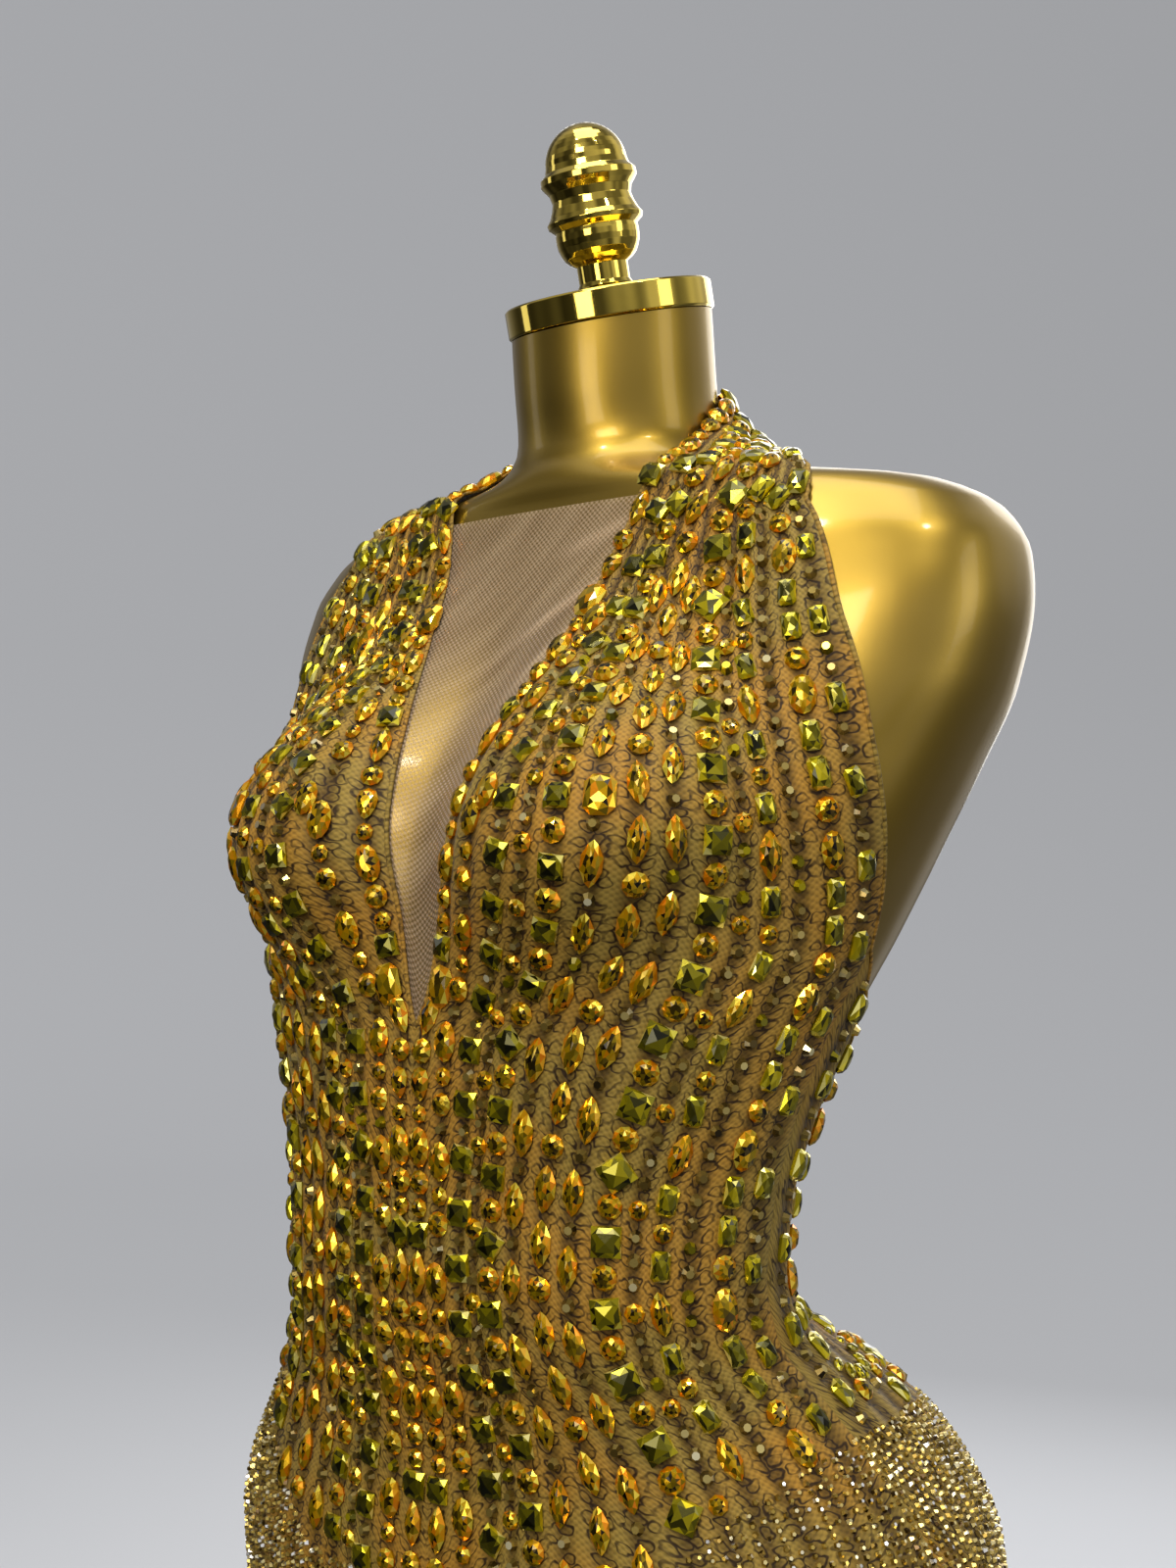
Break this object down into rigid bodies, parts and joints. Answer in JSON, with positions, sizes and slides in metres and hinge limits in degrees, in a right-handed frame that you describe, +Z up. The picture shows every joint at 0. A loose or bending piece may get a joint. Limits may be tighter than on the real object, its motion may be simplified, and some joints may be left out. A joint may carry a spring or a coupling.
{
  "type": "stage jumpsuit on a dress form",
  "caption": "Halter-neck stage jumpsuit covered with sew-on stones, with a plunging front and open back, on a limbless gold dress form with a turned finial and a round base.",
  "frame": {"origin": "centre of the round base plate's underside, on the floor", "axes": "+Z up, -Y the wearer's front, +X the wearer's left"},
  "size_m": [0.419, 0.34, 1.5863],
  "materials": {
    "cloth": "gold power mesh with sew-on stones",
    "tulle": "nude stretch tulle",
    "torso": "satin metallic gold paint under lacquer",
    "brass": "polished gold plating",
    "stand": "satin gold plating"
  },
  "bodies": {
    "root": {"front_left": "cloth", "front_right": "cloth", "back_left": "cloth", "back_right": "cloth", "plunge_tulle": "tulle", "nape_clasp": "brass", "form_torso": "torso", "neck_cap": "brass", "finial": "brass", "pole_flange": "stand", "pole": "stand", "base_plate": "stand"}
  },
  "joints": []
}
